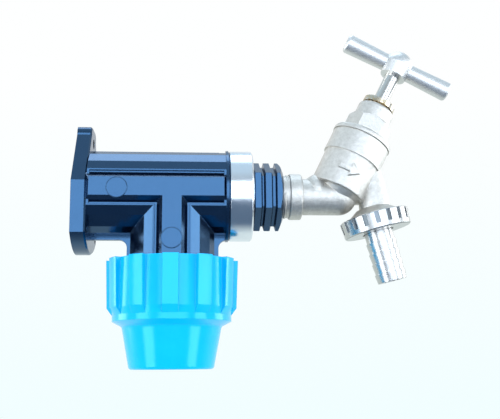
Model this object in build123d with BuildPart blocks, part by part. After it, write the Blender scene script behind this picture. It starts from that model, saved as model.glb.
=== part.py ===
"""Wall plate bib tap: a plastic wall elbow for 32 mm pipe with a reducing bush and a half inch bib tap.

The origin is the middle of the wall plate's back face, on the barrel's axis. X points out of the wall
along the barrel, Z is up, and the side with the photographed face looks along -Y. Lengths are in mm.
"""
import math
import os

from build123d import *

# Clearances
running_clearance = 0.05
press_clearance = 0.02
moving_gap = 0.3
seat_gap = 0.1

# Wall plate
plate_thickness = 7.0
plate_arc_radius = 29.0
plate_half_width = 21.5
plate_foot_half_width = 19.6
plate_kink_height = 2.8
ear_half_width = 8.0
ear_shoulder_height = 28.5
ear_top_height = 33.4
ear_corner_radius = 4.0
plate_edge_bevel = 0.8
screw_hole_radius = 2.4
upper_screw_height = 26.0
lower_screw_circle = 24.6
lower_screw_angle = 40.0
core_radius = 15.5
core_depth = 25.0
core_rib = 2.6

# Barrel, branch and their raised T on both faces
body_half_width = 19.8
body_flat_half_width = 8.7
body_shoulder_drop = 2.25
body_shoulder_half_width = 12.9
branch_distance = 39.5
barrel_length = 64.8
collar_width = 1.3
collar_radius = 22.5
edge_rib_reach = 22.0
edge_rib_thickness = 3.0
edge_rib_end_gap = 3.0
edge_rib_corner_radius = 4.0
panel_half_width = 8.0
panel_depth = 1.2
panel_end_margin = 1.1
panel_groove = 0.9
ridge_flat_half_width = 4.4
ridge_height = 3.0
mould_mark_radius = 4.7
mould_mark_height = 0.35
barrel_mark_distance = 14.0
barrel_mark_drop = 0.7
branch_mark_drop = 24.2

# Socket, steel ring and waterways
ring_length = 11.6
ring_outer_radius = 22.2
ring_thickness = 1.5
ring_bevel = 0.8
socket_depth = 18.0
barrel_bore_radius = 10.5
branch_bore_radius = 12.5

# Compression joint, measured down from the barrel's axis
pipe_radius = 16.0
pipe_clearance = 0.2
pipe_stop_height = 4.0
spigot_top_drop = 33.0
spigot_radius = 25.2
spigot_thread_depth = 1.1
spigot_length = 19.5
seal_section_radius = 1.9
seal_seat_depth = 6.0
thrust_flange_thickness = 2.2
thrust_flange_radius = 23.5
grip_ring_length = 22.0
grip_ring_top_radius = 20.9
grip_ring_bottom_radius = 18.2
grip_ring_slit = 3.0
nut_overlap = 0.6
nut_rib_length = 22.6
nut_rib_slope_length = 3.4
nut_ledge_length = 2.8
nut_shoulder_length = 2.4
nut_cone_length = 19.6
nut_rib_top_radius = 31.5
nut_rib_end_radius = 30.7
nut_flat_radius = 28.9
nut_ledge_radius = 28.2
nut_cone_top_radius = 23.6
nut_cone_bottom_radius = 19.9
nut_rib_count = 12
nut_rib_width = 7.2
nut_mouth_clearance = 0.7
nut_edge_round = 1.6

# Reducing bush
bush_thread_radius = 13.22
bush_hex_width = 29.8
bush_standoff = 1.0
bush_hex_length = 14.0
bush_crest_distances = (0.0, 5.0, 10.6)
bush_crest_width = 2.9
bush_slope_width = 0.7
bush_groove_depth = 2.0
bush_end_radius = 12.8
bush_end_chamfer = 1.9
bush_thread_length = 15.6
bush_bore_radius = 8.6

# Tap inlet and neck
inlet_thread_radius = 10.48
inlet_thread_depth = 13.1
inlet_thread_bare_length = 3.4
inlet_collar_length = 6.2
inlet_collar_radius = 11.4
inlet_collar_round = 0.8
neck_length = 16.7
neck_radius = 9.0
neck_bore_radius = 6.3
root_rise = 2.4
root_gain = 3.5
root_length = 5.2
root_distance = 8.8
root_round = 5.0

# Tap chamber, measured up the valve axis from the inlet's axis
valve_tilt = 27.0
bend_shift = 2.2
flare_shift = 1.2
flare_bottom_radius = 8.4
flare_top_radius = 11.4
chamber_bottom = 3.2
chamber_bottom_radius = 13.9
chamber_top_radius = 14.2
chamber_height = 17.7
band_radius = 14.95
band_height = 11.2
rim_height = 3.3
rim_radius = 15.3
rim_groove = 0.5
rim_round = 1.5
seat_level = 9.5
seat_hole_radius = 5.8
chamber_bore_radius = 9.6

# Spout and hose union, measured down the outlet axis from the union nut's middle
outlet_distance = 20.7
outlet_drop = 13.4
outlet_tilt = 14.0
spout_tilt = 7.0
spout_foot_distance = 20.6
spout_foot_drop = 6.0
spout_foot_radius = 7.9
spout_top_radius = 5.9
spout_length = 23.0
spout_bore_radius = 4.4
outlet_shoulder_length = 3.4
outlet_thread_radius = 13.2
outlet_thread_depth = 0.6
outlet_thread_above_nut = 0.7
outlet_bore_radius = 6.2
union_height = 8.3
union_top_radius = 17.3
union_bottom_radius = 16.6
union_lip = 1.5
union_notch_count = 18
union_notch_width = 2.2
union_notch_depth = 1.1
union_notch_share = 0.7
union_chamfer = 0.5
tail_flange_thickness = 1.6
tail_washer_thickness = 2.0
tail_neck_radius = 7.0
tail_radius = 7.55
tail_length = 25.0
tail_bore_radius = 4.9
tail_step_marks = (4.4, 9.6, 14.8, 20.0)
tail_step = 0.45

# Headwork, measured up the valve axis
bonnet_washer_thickness = 0.8
bonnet_thread_length = 11.0
bonnet_hex_width = 20.0
bonnet_hex_height = 8.7
bonnet_collar_radius = 9.4
bonnet_cone_height = 1.6
bonnet_collar_height = 7.4
bonnet_top_round = 1.8
spindle_thread_radius = 5.2
spindle_standoff = 0.9
spindle_thread_length = 18.3
handle_travel = 4.5
spindle_radius = 3.9
spindle_bare_length = 15.5
packing_radius = 6.2
packing_depth = 6.7
packing_height = 4.0
gland_flange_radius = 8.3
gland_flange_height = 2.6
gland_standoff = 0.8
gland_boss_radius = 5.4
gland_boss_height = 1.0
gland_slot_width = 1.8
gland_slot_depth = 1.6
jumper_plate_radius = 8.2
jumper_plate_height = 2.2
jumper_stem_radius = 2.9
jumper_stem_height = 13.0
tap_washer_radius = 7.7
tap_washer_height = 3.0
washer_bolt_radius = 1.6
washer_nut_width = 6.0
washer_nut_height = 1.8

# Crutch handle, measured up the valve axis
hub_bottom_radius = 6.6
hub_radius = 7.9
hub_height = 14.0
handle_axis_rise = 5.7
handle_length = 58.9
arm_root_radius = 4.3
arm_end_radius = 4.95
arm_end_round = 1.6
drive_square = 5.2
drive_depth = 10.0
handle_screw_radius = 1.9
handle_screw_length = 3.6
handle_screw_socket = 1.0

# Lengths that follow from the driving dimensions
branch_x = plate_thickness + branch_distance
collar_start = plate_thickness + barrel_length
collar_end = collar_start + collar_width
socket_end = collar_end + ring_length
body_shoulder_reach = body_half_width - body_shoulder_drop
ridge_foot_half_width = panel_half_width - panel_groove
pipe_stop_drop = spigot_top_drop - pipe_stop_height
spigot_bottom_drop = spigot_top_drop + spigot_length
spigot_root_radius = spigot_radius - spigot_thread_depth
socket_outer_radius = ring_outer_radius - ring_thickness - press_clearance
pipe_bore_radius = pipe_radius + pipe_clearance
seal_outer_radius = pipe_bore_radius + 2 * seal_section_radius + press_clearance
seal_top_drop = spigot_bottom_drop - seal_seat_depth
thrust_top_drop = seal_top_drop + 2 * seal_section_radius + 2 * press_clearance
thrust_flange_drop = spigot_bottom_drop + press_clearance
thrust_bottom_drop = thrust_flange_drop + thrust_flange_thickness
grip_top_drop = thrust_bottom_drop + moving_gap
grip_bottom_drop = grip_top_drop + grip_ring_length
grip_bore_radius = pipe_bore_radius + running_clearance
nut_top_drop = spigot_top_drop - nut_overlap
nut_rib_end_drop = nut_top_drop + nut_rib_length
nut_ledge_top_drop = nut_rib_end_drop + nut_rib_slope_length
nut_ledge_bottom_drop = nut_ledge_top_drop + nut_ledge_length
nut_cone_top_drop = nut_ledge_bottom_drop + nut_shoulder_length
nut_bottom_drop = nut_cone_top_drop + nut_cone_length
nut_thread_radius = spigot_radius + moving_gap
nut_mouth_radius = pipe_radius + nut_mouth_clearance
bush_hex_start = socket_end + bush_standoff
bush_end = bush_hex_start + bush_hex_length
bush_thread_start = bush_hex_start - bush_thread_length
bush_corner_radius = bush_hex_width / 2 / math.cos(math.pi / 6)
inlet_thread_start = bush_end - inlet_thread_depth
inlet_collar_start = bush_end + inlet_thread_bare_length
inlet_collar_end = inlet_collar_start + inlet_collar_length
valve_x = inlet_collar_end + neck_length
band_bottom = chamber_bottom + chamber_height
band_top = band_bottom + band_height
rim_top = band_top + rim_height
outlet_root_radius = outlet_thread_radius - outlet_thread_depth
union_top = -union_height / 2
union_bottom = union_height / 2
lip_top = union_bottom - union_lip
tail_flange_bottom = lip_top - seat_gap
tail_flange_top = tail_flange_bottom - tail_flange_thickness
tail_washer_top = tail_flange_top - tail_washer_thickness
outlet_end = tail_washer_top - seat_gap
outlet_thread_top = union_top - outlet_thread_above_nut
union_thread_radius = outlet_thread_radius + running_clearance
bonnet_hex_bottom = rim_top + bonnet_washer_thickness
bonnet_hex_top = bonnet_hex_bottom + bonnet_hex_height
bonnet_corner_radius = bonnet_hex_width / 2 / math.cos(math.pi / 6)
bonnet_thread_radius = chamber_bore_radius - running_clearance
bonnet_top = bonnet_hex_top + bonnet_collar_height
packing_bottom = bonnet_top - packing_depth
packing_top = packing_bottom + packing_height
gland_flange_bottom = bonnet_top + gland_standoff
gland_flange_top = gland_flange_bottom + gland_flange_height
gland_top = gland_flange_top + gland_boss_height
washer_bottom = seat_level + seat_gap
washer_top = washer_bottom + tap_washer_height
jumper_top = washer_top + jumper_plate_height
spindle_thread_bottom = jumper_top + spindle_standoff
spindle_thread_top = spindle_thread_bottom + spindle_thread_length
hub_bottom = gland_top + spindle_bare_length
hub_top = hub_bottom + hub_height
handle_axis_height = hub_bottom + handle_axis_rise


def turning_plane(origin, along):
    """Sketch plane of a turned profile: local x is the radius and local y runs along the axis."""
    direction = Vector(*along)
    return Plane(origin=origin, x_dir=direction.cross(Vector(0, 1, 0)), z_dir=(0, 1, 0))


def axis_of(plane):
    """Axis of a turning plane."""
    return Axis(plane.origin, plane.y_dir)


def cross_plane(plane, along):
    """Plane square to a turning plane's axis, a distance along it."""
    return Plane(origin=plane.origin + plane.y_dir * along, x_dir=plane.x_dir, z_dir=plane.y_dir)


def turned(plane, points, rounds=()):
    """Closed profile of (radius, along) points, with rounds as (point, radius) at some corners."""
    with BuildSketch(plane) as profile:
        with BuildLine():
            Polyline(*points, close=True)
        make_face()
        for corner, radius in rounds:
            fillet(profile.vertices().sort_by_distance(corner)[0], radius=radius)
    return profile.sketch


def step(inner, outer, start, end):
    """Corner points of a plain ring between two radii and two places along an axis."""
    return [(inner, start), (outer, start), (outer, end), (inner, end)]


valve_angle = math.radians(valve_tilt)
outlet_angle = math.radians(outlet_tilt)
spout_angle = math.radians(spout_tilt)
barrel = turning_plane((0, 0, 0), (1, 0, 0))
branch = turning_plane((branch_x, 0, 0), (0, 0, -1))
valve = turning_plane((valve_x, 0, 0), (math.sin(valve_angle), 0, math.cos(valve_angle)))
outlet_place = (valve_x + outlet_distance, 0, -outlet_drop)
outlet = turning_plane(outlet_place, (math.sin(outlet_angle), 0, -math.cos(outlet_angle)))
spout_place = (valve_x + spout_foot_distance, 0, -spout_foot_drop)
spout = turning_plane(spout_place, (math.sin(spout_angle), 0, -math.cos(spout_angle)))
across = Vector(0, 1, 0)
handle_middle = valve.origin + valve.y_dir * handle_axis_height
handle = Plane(origin=handle_middle, x_dir=across, z_dir=across.cross(valve.x_dir))


def body_section(plane):
    """Many-sided section of the barrel and the branch, with a wide flat on each of four sides."""
    quarter = [
        (body_half_width, body_flat_half_width),
        (body_shoulder_reach, body_shoulder_half_width),
        (body_shoulder_half_width, body_shoulder_reach),
        (body_flat_half_width, body_half_width),
    ]
    half = quarter + [(-x, y) for x, y in reversed(quarter)]
    with BuildSketch(plane) as section:
        with BuildLine():
            Polyline(*half, *[(x, -y) for x, y in reversed(half)], close=True)
        make_face()
    return section.sketch


def tee(plane, half_width, end_margin, drop):
    """T of the barrel and the branch, drawn on a plane that looks along Y."""
    left = plate_thickness + end_margin
    right = collar_start - end_margin
    down = -plane.y_dir.Z
    with BuildSketch(plane) as outline:
        with Locations(((left + right) / 2, 0)):
            Rectangle(right - left, 2 * half_width)
        with Locations((branch_x, down * drop / 2)):
            Rectangle(2 * half_width, drop)
    return outline.sketch


# Wall elbow: plate, barrel and branch in one moulding
with BuildPart() as wall_elbow:
    with BuildSketch(Plane.YZ) as plate_outline:
        with BuildLine():
            corner_angle = math.degrees(math.acos(plate_foot_half_width / plate_arc_radius))
            foot = CenterArc((0, 0), plate_arc_radius, -90, 90 - corner_angle)
            side = Line(foot @ 1, (plate_half_width, plate_kink_height))
            shoulder = Line(side @ 1, (ear_half_width, ear_shoulder_height))
            ear_side = Line(shoulder @ 1, (ear_half_width, ear_top_height))
            Line(ear_side @ 1, (0, ear_top_height))
            mirror(about=Plane.YZ)
        make_face()
        fillet(plate_outline.vertices().group_by(Axis.Y)[-1], radius=ear_corner_radius)
    extrude(amount=plate_thickness)
    chamfer(wall_elbow.faces().sort_by(Axis.X)[-1].edges(), length=plate_edge_bevel)
    extrude(body_section(Plane.YZ.offset(plate_thickness)), amount=barrel_length)
    extrude(body_section(cross_plane(branch, 0)), amount=spigot_top_drop)

    # Thin rib along the mould's parting plane
    rib_left = plate_thickness / 2
    rib_right = collar_start - edge_rib_end_gap
    with BuildSketch(Plane.XZ) as edge_rib:
        with Locations((rib_left, 0)):
            Rectangle(rib_right - rib_left, edge_rib_reach, align=(Align.MIN, Align.MIN))
            Rectangle(collar_end - rib_left, edge_rib_reach, align=(Align.MIN, Align.MAX))
        with Locations((branch_x, 0)):
            Rectangle(2 * edge_rib_reach, spigot_top_drop, align=(Align.CENTER, Align.MAX))
        inner_corners = edge_rib.vertices().group_by(Axis.Y)[1].sort_by(Axis.X)[1:-1]
        fillet(inner_corners, radius=edge_rib_corner_radius)
    extrude(amount=edge_rib_thickness / 2, both=True)

    # Sunk panel and raised T on both faces
    ridge_taper = math.degrees(math.atan((ridge_foot_half_width - ridge_flat_half_width) / ridge_height))
    ridge_end_margin = panel_end_margin - (ridge_foot_half_width - ridge_flat_half_width)
    for facing in (-1, 1):
        face_plane = Plane(origin=(0, facing * body_half_width, 0), x_dir=(1, 0, 0), z_dir=(0, facing, 0))
        floor_plane = face_plane.offset(-panel_depth)
        extrude(tee(face_plane, panel_half_width, panel_end_margin, spigot_top_drop), amount=-panel_depth,
                mode=Mode.SUBTRACT)
        ridge = tee(floor_plane, ridge_foot_half_width, ridge_end_margin, spigot_top_drop + ridge_height)
        extrude(ridge, amount=ridge_height, taper=ridge_taper)
        down = -face_plane.y_dir.Z
        barrel_mark = (plate_thickness + barrel_mark_distance, down * barrel_mark_drop)
        with BuildSketch(floor_plane):
            with Locations(barrel_mark, (branch_x, down * branch_mark_drop)):
                Circle(mould_mark_radius)
        extrude(amount=ridge_height + mould_mark_height)

    # Collar, socket under the steel ring and threaded spigot
    revolve(turned(barrel, step(0, collar_radius, collar_start, collar_end)), axis=axis_of(barrel))
    revolve(turned(barrel, step(0, socket_outer_radius, collar_end, socket_end)), axis=axis_of(barrel))
    spigot_points = step(0, spigot_root_radius, spigot_top_drop, spigot_bottom_drop)
    revolve(turned(branch, spigot_points), axis=axis_of(branch))

    # Waterways, pipe bore and seal seat
    branch_bore = [
        (0, 0),
        (branch_bore_radius, 0),
        (branch_bore_radius, pipe_stop_drop),
        (pipe_bore_radius, pipe_stop_drop),
        (pipe_bore_radius, seal_top_drop),
        (seal_outer_radius, seal_top_drop),
        (seal_outer_radius, spigot_bottom_drop),
        (0, spigot_bottom_drop),
    ]
    revolve(turned(branch, branch_bore), axis=axis_of(branch), mode=Mode.SUBTRACT)
    with Locations((branch_x, 0, 0)):
        Sphere(branch_bore_radius, mode=Mode.SUBTRACT)
    socket_bore = [
        (0, branch_x),
        (barrel_bore_radius, branch_x),
        (barrel_bore_radius, socket_end - socket_depth),
        (bush_thread_radius + running_clearance, socket_end - socket_depth),
        (bush_thread_radius + running_clearance, socket_end),
        (0, socket_end),
    ]
    revolve(turned(barrel, socket_bore), axis=axis_of(barrel), mode=Mode.SUBTRACT)

    # Cored back with a cross of ribs, and the screw holes
    with BuildSketch(Plane.YZ):
        Circle(core_radius)
        Rectangle(core_rib, 2 * core_radius, mode=Mode.SUBTRACT)
        Rectangle(2 * core_radius, core_rib, mode=Mode.SUBTRACT)
    extrude(amount=core_depth, mode=Mode.SUBTRACT)
    screw_angle = math.radians(lower_screw_angle)
    screw_y = lower_screw_circle * math.sin(screw_angle)
    screw_z = -lower_screw_circle * math.cos(screw_angle)
    with BuildSketch(Plane.YZ):
        with Locations((0, upper_screw_height), (screw_y, screw_z), (-screw_y, screw_z)):
            Circle(screw_hole_radius)
    extrude(amount=plate_thickness, mode=Mode.SUBTRACT)

# Steel ring pressed on the socket
with BuildPart() as reinforcing_ring:
    ring_inner_radius = ring_outer_radius - ring_thickness
    ring_points = step(ring_inner_radius, ring_outer_radius, collar_end, socket_end)
    revolve(turned(barrel, ring_points), axis=axis_of(barrel))
    outer_edges = reinforcing_ring.edges().filter_by(GeomType.CIRCLE).sort_by(SortBy.RADIUS)[-2:]
    chamfer(outer_edges, length=ring_bevel)

# Grip ribs of the compression nut
with BuildPart() as nut_ribs:
    rib_points = [
        (nut_thread_radius, nut_top_drop),
        (nut_rib_top_radius, nut_top_drop),
        (nut_rib_end_radius, nut_rib_end_drop),
        (nut_ledge_radius, nut_ledge_top_drop),
        (nut_thread_radius, nut_ledge_top_drop),
    ]
    revolve(turned(branch, rib_points), axis=axis_of(branch))
    with BuildSketch(cross_plane(branch, nut_top_drop)):
        with PolarLocations(nut_rib_top_radius / 2, nut_rib_count, start_angle=90):
            Rectangle(nut_rib_top_radius + nut_edge_round, nut_rib_width)
    extrude(amount=nut_ledge_top_drop - nut_top_drop, mode=Mode.INTERSECT)

# Compression nut
with BuildPart() as compression_nut:
    nut_points = [
        (nut_thread_radius, nut_top_drop),
        (nut_flat_radius, nut_top_drop),
        (nut_flat_radius, nut_rib_end_drop),
        (nut_ledge_radius, nut_ledge_top_drop),
        (nut_ledge_radius, nut_ledge_bottom_drop),
        (nut_cone_top_radius, nut_cone_top_drop),
        (nut_cone_bottom_radius, nut_bottom_drop),
        (nut_mouth_radius, nut_bottom_drop),
        (nut_mouth_radius, grip_bottom_drop + moving_gap),
        (grip_ring_bottom_radius + moving_gap, grip_bottom_drop + moving_gap),
        (grip_ring_top_radius + moving_gap, grip_top_drop),
        (nut_thread_radius, grip_top_drop),
    ]
    nut_rounds = [
        ((nut_cone_bottom_radius, nut_bottom_drop), nut_edge_round),
        ((nut_cone_top_radius, nut_cone_top_drop), nut_edge_round),
    ]
    revolve(turned(branch, nut_points, nut_rounds), axis=axis_of(branch))
    add(nut_ribs.part)
    bore_points = step(0, nut_thread_radius, nut_top_drop, grip_top_drop)
    revolve(turned(branch, bore_points), axis=axis_of(branch), mode=Mode.SUBTRACT)

# Split grip ring
with BuildPart() as grip_ring:
    grip_points = [
        (grip_bore_radius, grip_top_drop),
        (grip_ring_top_radius, grip_top_drop),
        (grip_ring_bottom_radius, grip_bottom_drop),
        (grip_bore_radius, grip_bottom_drop),
    ]
    revolve(turned(branch, grip_points), axis=axis_of(branch))
    with BuildSketch(cross_plane(branch, grip_top_drop)):
        with Locations((0, grip_ring_top_radius)):
            Rectangle(grip_ring_slit, 2 * (grip_ring_top_radius - grip_bore_radius) + grip_ring_slit)
    extrude(amount=grip_ring_length, mode=Mode.SUBTRACT)

# Thrust ring with its flange under the spigot
with BuildPart() as thrust_ring:
    sleeve_radius = seal_outer_radius - running_clearance
    thrust_points = [
        (grip_bore_radius, thrust_top_drop),
        (sleeve_radius, thrust_top_drop),
        (sleeve_radius, thrust_flange_drop),
        (thrust_flange_radius, thrust_flange_drop),
        (thrust_flange_radius, thrust_bottom_drop),
        (grip_bore_radius, thrust_bottom_drop),
    ]
    revolve(turned(branch, thrust_points), axis=axis_of(branch))

# Rubber seal round the pipe
with BuildPart() as pipe_seal:
    seal_middle_drop = seal_top_drop + press_clearance + seal_section_radius
    with BuildSketch(branch):
        with Locations((pipe_bore_radius + seal_section_radius, seal_middle_drop)):
            Circle(seal_section_radius - press_clearance)
    revolve(axis=axis_of(branch))

# Reducing bush with a grooved hexagon
with BuildPart() as reducing_bush:
    groove_width = bush_hex_width / 2 - bush_groove_depth
    crest_taper = math.degrees(math.atan(bush_groove_depth / bush_slope_width))
    with BuildSketch(cross_plane(barrel, bush_hex_start)):
        RegularPolygon(radius=groove_width, side_count=6, major_radius=False)
    extrude(amount=bush_hex_length)
    for crest_distance in bush_crest_distances:
        crest = bush_hex_start + crest_distance
        crest_end = min(crest + bush_crest_width, bush_end)
        for place, direction in ((crest, -1), (crest_end, 1)):
            slope = min(bush_slope_width, abs((bush_hex_start if direction < 0 else bush_end) - place))
            if slope > press_clearance:
                with BuildSketch(cross_plane(barrel, place)):
                    RegularPolygon(radius=bush_hex_width / 2, side_count=6, major_radius=False)
                extrude(amount=direction * slope, taper=crest_taper)
        with BuildSketch(cross_plane(barrel, crest)):
            RegularPolygon(radius=bush_hex_width / 2, side_count=6, major_radius=False)
        extrude(amount=crest_end - crest)
    bevel_points = [
        (bush_corner_radius, bush_end - bush_end_chamfer),
        (bush_corner_radius, bush_end),
        (bush_end_radius, bush_end),
    ]
    revolve(turned(barrel, bevel_points), axis=axis_of(barrel), mode=Mode.SUBTRACT)
    thread_points = step(0, bush_thread_radius, bush_thread_start, bush_hex_start)
    revolve(turned(barrel, thread_points), axis=axis_of(barrel))
    bush_bore = [
        (0, bush_thread_start),
        (bush_bore_radius, bush_thread_start),
        (bush_bore_radius, inlet_thread_start - moving_gap),
        (inlet_thread_radius + running_clearance, inlet_thread_start - moving_gap),
        (inlet_thread_radius + running_clearance, bush_end),
        (0, bush_end),
    ]
    revolve(turned(barrel, bush_bore), axis=axis_of(barrel), mode=Mode.SUBTRACT)

# Tap body: inlet, neck, tilted chamber and spout in one casting
with BuildPart() as tap_body:
    bend_x = valve_x + bend_shift
    inlet_points = [
        (0, inlet_thread_start),
        (inlet_thread_radius, inlet_thread_start),
        (inlet_thread_radius, inlet_collar_start),
        (inlet_collar_radius, inlet_collar_start),
        (inlet_collar_radius, inlet_collar_end),
        (neck_radius, inlet_collar_end),
        (neck_radius, bend_x),
        (0, bend_x),
    ]
    inlet_rounds = [
        ((inlet_collar_radius, inlet_collar_start), inlet_collar_round),
        ((inlet_collar_radius, inlet_collar_end), inlet_collar_round),
    ]
    revolve(turned(barrel, inlet_points, inlet_rounds), axis=axis_of(barrel))
    with Locations((bend_x, 0, 0)):
        Sphere(neck_radius)
    riser = turning_plane((bend_x, 0, 0), tuple(valve.y_dir))
    revolve(turned(riser, step(0, neck_radius, 0, seat_level)), axis=axis_of(riser))
    root = turning_plane((valve_x - root_distance, 0, root_rise), (1, 0, 0))
    root_points = [
        (0, -root_length),
        (neck_radius - root_rise, -root_length),
        (neck_radius - root_rise + root_gain, 0),
        (neck_radius - root_rise, root_length),
        (0, root_length),
    ]
    root_rounds = [((neck_radius - root_rise + root_gain, 0), root_round)]
    revolve(turned(root, root_points, root_rounds), axis=axis_of(root))
    flare = turning_plane(tuple(valve.origin - valve.x_dir * flare_shift), tuple(valve.y_dir))
    flare_points = [
        (0, 0),
        (flare_bottom_radius, 0),
        (flare_top_radius, chamber_bottom),
        (flare_top_radius, seat_level),
        (0, seat_level),
    ]
    revolve(turned(flare, flare_points), axis=axis_of(flare))
    chamber_points = [
        (0, chamber_bottom),
        (chamber_bottom_radius, chamber_bottom),
        (chamber_top_radius, band_bottom),
        (band_radius, band_bottom),
        (band_radius, band_top),
        (band_radius - rim_groove, band_top),
        (band_radius - rim_groove, band_top + rim_groove),
        (rim_radius, band_top + rim_groove),
        (rim_radius, rim_top),
        (0, rim_top),
    ]
    chamber_rounds = [
        ((rim_radius, rim_top), rim_round),
        ((chamber_bottom_radius, chamber_bottom), rim_groove),
    ]
    revolve(turned(valve, chamber_points, chamber_rounds), axis=axis_of(valve))
    spout_points = [(0, 0), (spout_foot_radius, 0), (spout_top_radius, -spout_length), (0, -spout_length)]
    revolve(turned(spout, spout_points), axis=axis_of(spout))
    outlet_points = [
        (0, outlet_thread_top - outlet_shoulder_length),
        (spout_foot_radius, outlet_thread_top - outlet_shoulder_length),
        (outlet_root_radius, outlet_thread_top),
        (outlet_root_radius, outlet_end),
        (0, outlet_end),
    ]
    revolve(turned(outlet, outlet_points), axis=axis_of(outlet))

    # Waterways: inlet to the seat, chamber, and chamber to the outlet
    revolve(turned(barrel, step(0, neck_bore_radius, inlet_thread_start, bend_x)), axis=axis_of(barrel),
            mode=Mode.SUBTRACT)
    with Locations((bend_x, 0, 0)):
        Sphere(neck_bore_radius, mode=Mode.SUBTRACT)
    chamber_bore = [
        (0, 0),
        (seat_hole_radius, 0),
        (seat_hole_radius, seat_level),
        (chamber_bore_radius, seat_level),
        (chamber_bore_radius, rim_top),
        (0, rim_top),
    ]
    revolve(turned(valve, chamber_bore), axis=axis_of(valve), mode=Mode.SUBTRACT)
    spout_bore = step(0, spout_bore_radius, -spout_length, 0)
    revolve(turned(spout, spout_bore), axis=axis_of(spout), mode=Mode.SUBTRACT)
    outlet_bore = step(0, outlet_bore_radius, outlet_thread_top, outlet_end)
    revolve(turned(outlet, outlet_bore), axis=axis_of(outlet), mode=Mode.SUBTRACT)

# Fibre washer under the bonnet
with BuildPart() as bonnet_washer:
    washer_points = step(chamber_bore_radius, bonnet_corner_radius, rim_top, bonnet_hex_bottom)
    revolve(turned(valve, washer_points), axis=axis_of(valve))

# Bonnet with its hexagon and round collar
with BuildPart() as bonnet:
    with BuildSketch(cross_plane(valve, bonnet_hex_bottom)):
        RegularPolygon(radius=bonnet_hex_width / 2, side_count=6, major_radius=False)
    extrude(amount=bonnet_hex_height)
    hex_bevel = [
        (bonnet_hex_width / 2, bonnet_hex_top),
        (bonnet_corner_radius, bonnet_hex_top),
        (bonnet_corner_radius, bonnet_hex_top - bonnet_cone_height),
    ]
    revolve(turned(valve, hex_bevel), axis=axis_of(valve), mode=Mode.SUBTRACT)
    collar_points = [
        (0, bonnet_hex_top),
        (bonnet_collar_radius, bonnet_hex_top),
        (bonnet_collar_radius, bonnet_top),
        (0, bonnet_top),
    ]
    revolve(turned(valve, collar_points, [((bonnet_collar_radius, bonnet_top), bonnet_top_round)]),
            axis=axis_of(valve))
    thread_bottom = bonnet_hex_bottom - bonnet_thread_length
    thread_points = step(0, bonnet_thread_radius, thread_bottom, bonnet_hex_bottom)
    revolve(turned(valve, thread_points), axis=axis_of(valve))
    bonnet_bore = [
        (0, thread_bottom),
        (spindle_thread_radius + running_clearance, thread_bottom),
        (spindle_thread_radius + running_clearance, spindle_thread_top + handle_travel + moving_gap),
        (spindle_radius + running_clearance, spindle_thread_top + handle_travel + moving_gap),
        (spindle_radius + running_clearance, packing_bottom),
        (packing_radius + running_clearance, packing_bottom),
        (packing_radius + running_clearance, bonnet_top),
        (0, bonnet_top),
    ]
    revolve(turned(valve, bonnet_bore), axis=axis_of(valve), mode=Mode.SUBTRACT)

# Packing and slotted gland nut
with BuildPart() as gland_packing:
    packing_points = step(spindle_radius + running_clearance, packing_radius, packing_bottom, packing_top)
    revolve(turned(valve, packing_points), axis=axis_of(valve))

with BuildPart() as gland_nut:
    gland_points = [
        (spindle_radius + running_clearance, packing_top),
        (packing_radius, packing_top),
        (packing_radius, gland_flange_bottom),
        (gland_flange_radius, gland_flange_bottom),
        (gland_flange_radius, gland_flange_top),
        (gland_boss_radius, gland_flange_top),
        (gland_boss_radius, gland_top),
        (spindle_radius + running_clearance, gland_top),
    ]
    revolve(turned(valve, gland_points), axis=axis_of(valve))
    with BuildSketch(cross_plane(valve, gland_flange_top)):
        with PolarLocations(gland_flange_radius, 4):
            Rectangle(2 * (gland_flange_radius - gland_boss_radius), gland_slot_width)
    extrude(amount=-gland_slot_depth, mode=Mode.SUBTRACT)

# Spindle with its thread, shank and square
with BuildPart() as spindle:
    spindle_points = [
        (0, spindle_thread_bottom),
        (spindle_thread_radius, spindle_thread_bottom),
        (spindle_thread_radius, spindle_thread_top),
        (spindle_radius, spindle_thread_top),
        (spindle_radius, hub_bottom),
        (0, hub_bottom),
    ]
    revolve(turned(valve, spindle_points), axis=axis_of(valve))
    with BuildSketch(cross_plane(valve, hub_bottom)):
        Rectangle(drive_square, drive_square)
    extrude(amount=drive_depth)
    stem_bore_top = jumper_top + jumper_stem_height + moving_gap
    stem_bore = step(0, jumper_stem_radius + running_clearance, spindle_thread_bottom, stem_bore_top)
    revolve(turned(valve, stem_bore), axis=axis_of(valve), mode=Mode.SUBTRACT)

# Valve plate with its stem and the bolt that carries the washer
with BuildPart() as jumper_valve:
    jumper_points = [
        (0, washer_bottom - washer_nut_height),
        (washer_bolt_radius, washer_bottom - washer_nut_height),
        (washer_bolt_radius, washer_top),
        (jumper_plate_radius, washer_top),
        (jumper_plate_radius, jumper_top),
        (jumper_stem_radius, jumper_top),
        (jumper_stem_radius, jumper_top + jumper_stem_height),
        (0, jumper_top + jumper_stem_height),
    ]
    revolve(turned(valve, jumper_points), axis=axis_of(valve))

with BuildPart() as tap_washer:
    washer_points = step(washer_bolt_radius + press_clearance, tap_washer_radius, washer_bottom, washer_top)
    revolve(turned(valve, washer_points), axis=axis_of(valve))

with BuildPart() as washer_nut:
    with BuildSketch(cross_plane(valve, washer_bottom)):
        RegularPolygon(radius=washer_nut_width / 2, side_count=6, major_radius=False)
        Circle(washer_bolt_radius + press_clearance, mode=Mode.SUBTRACT)
    extrude(amount=-washer_nut_height)

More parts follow.
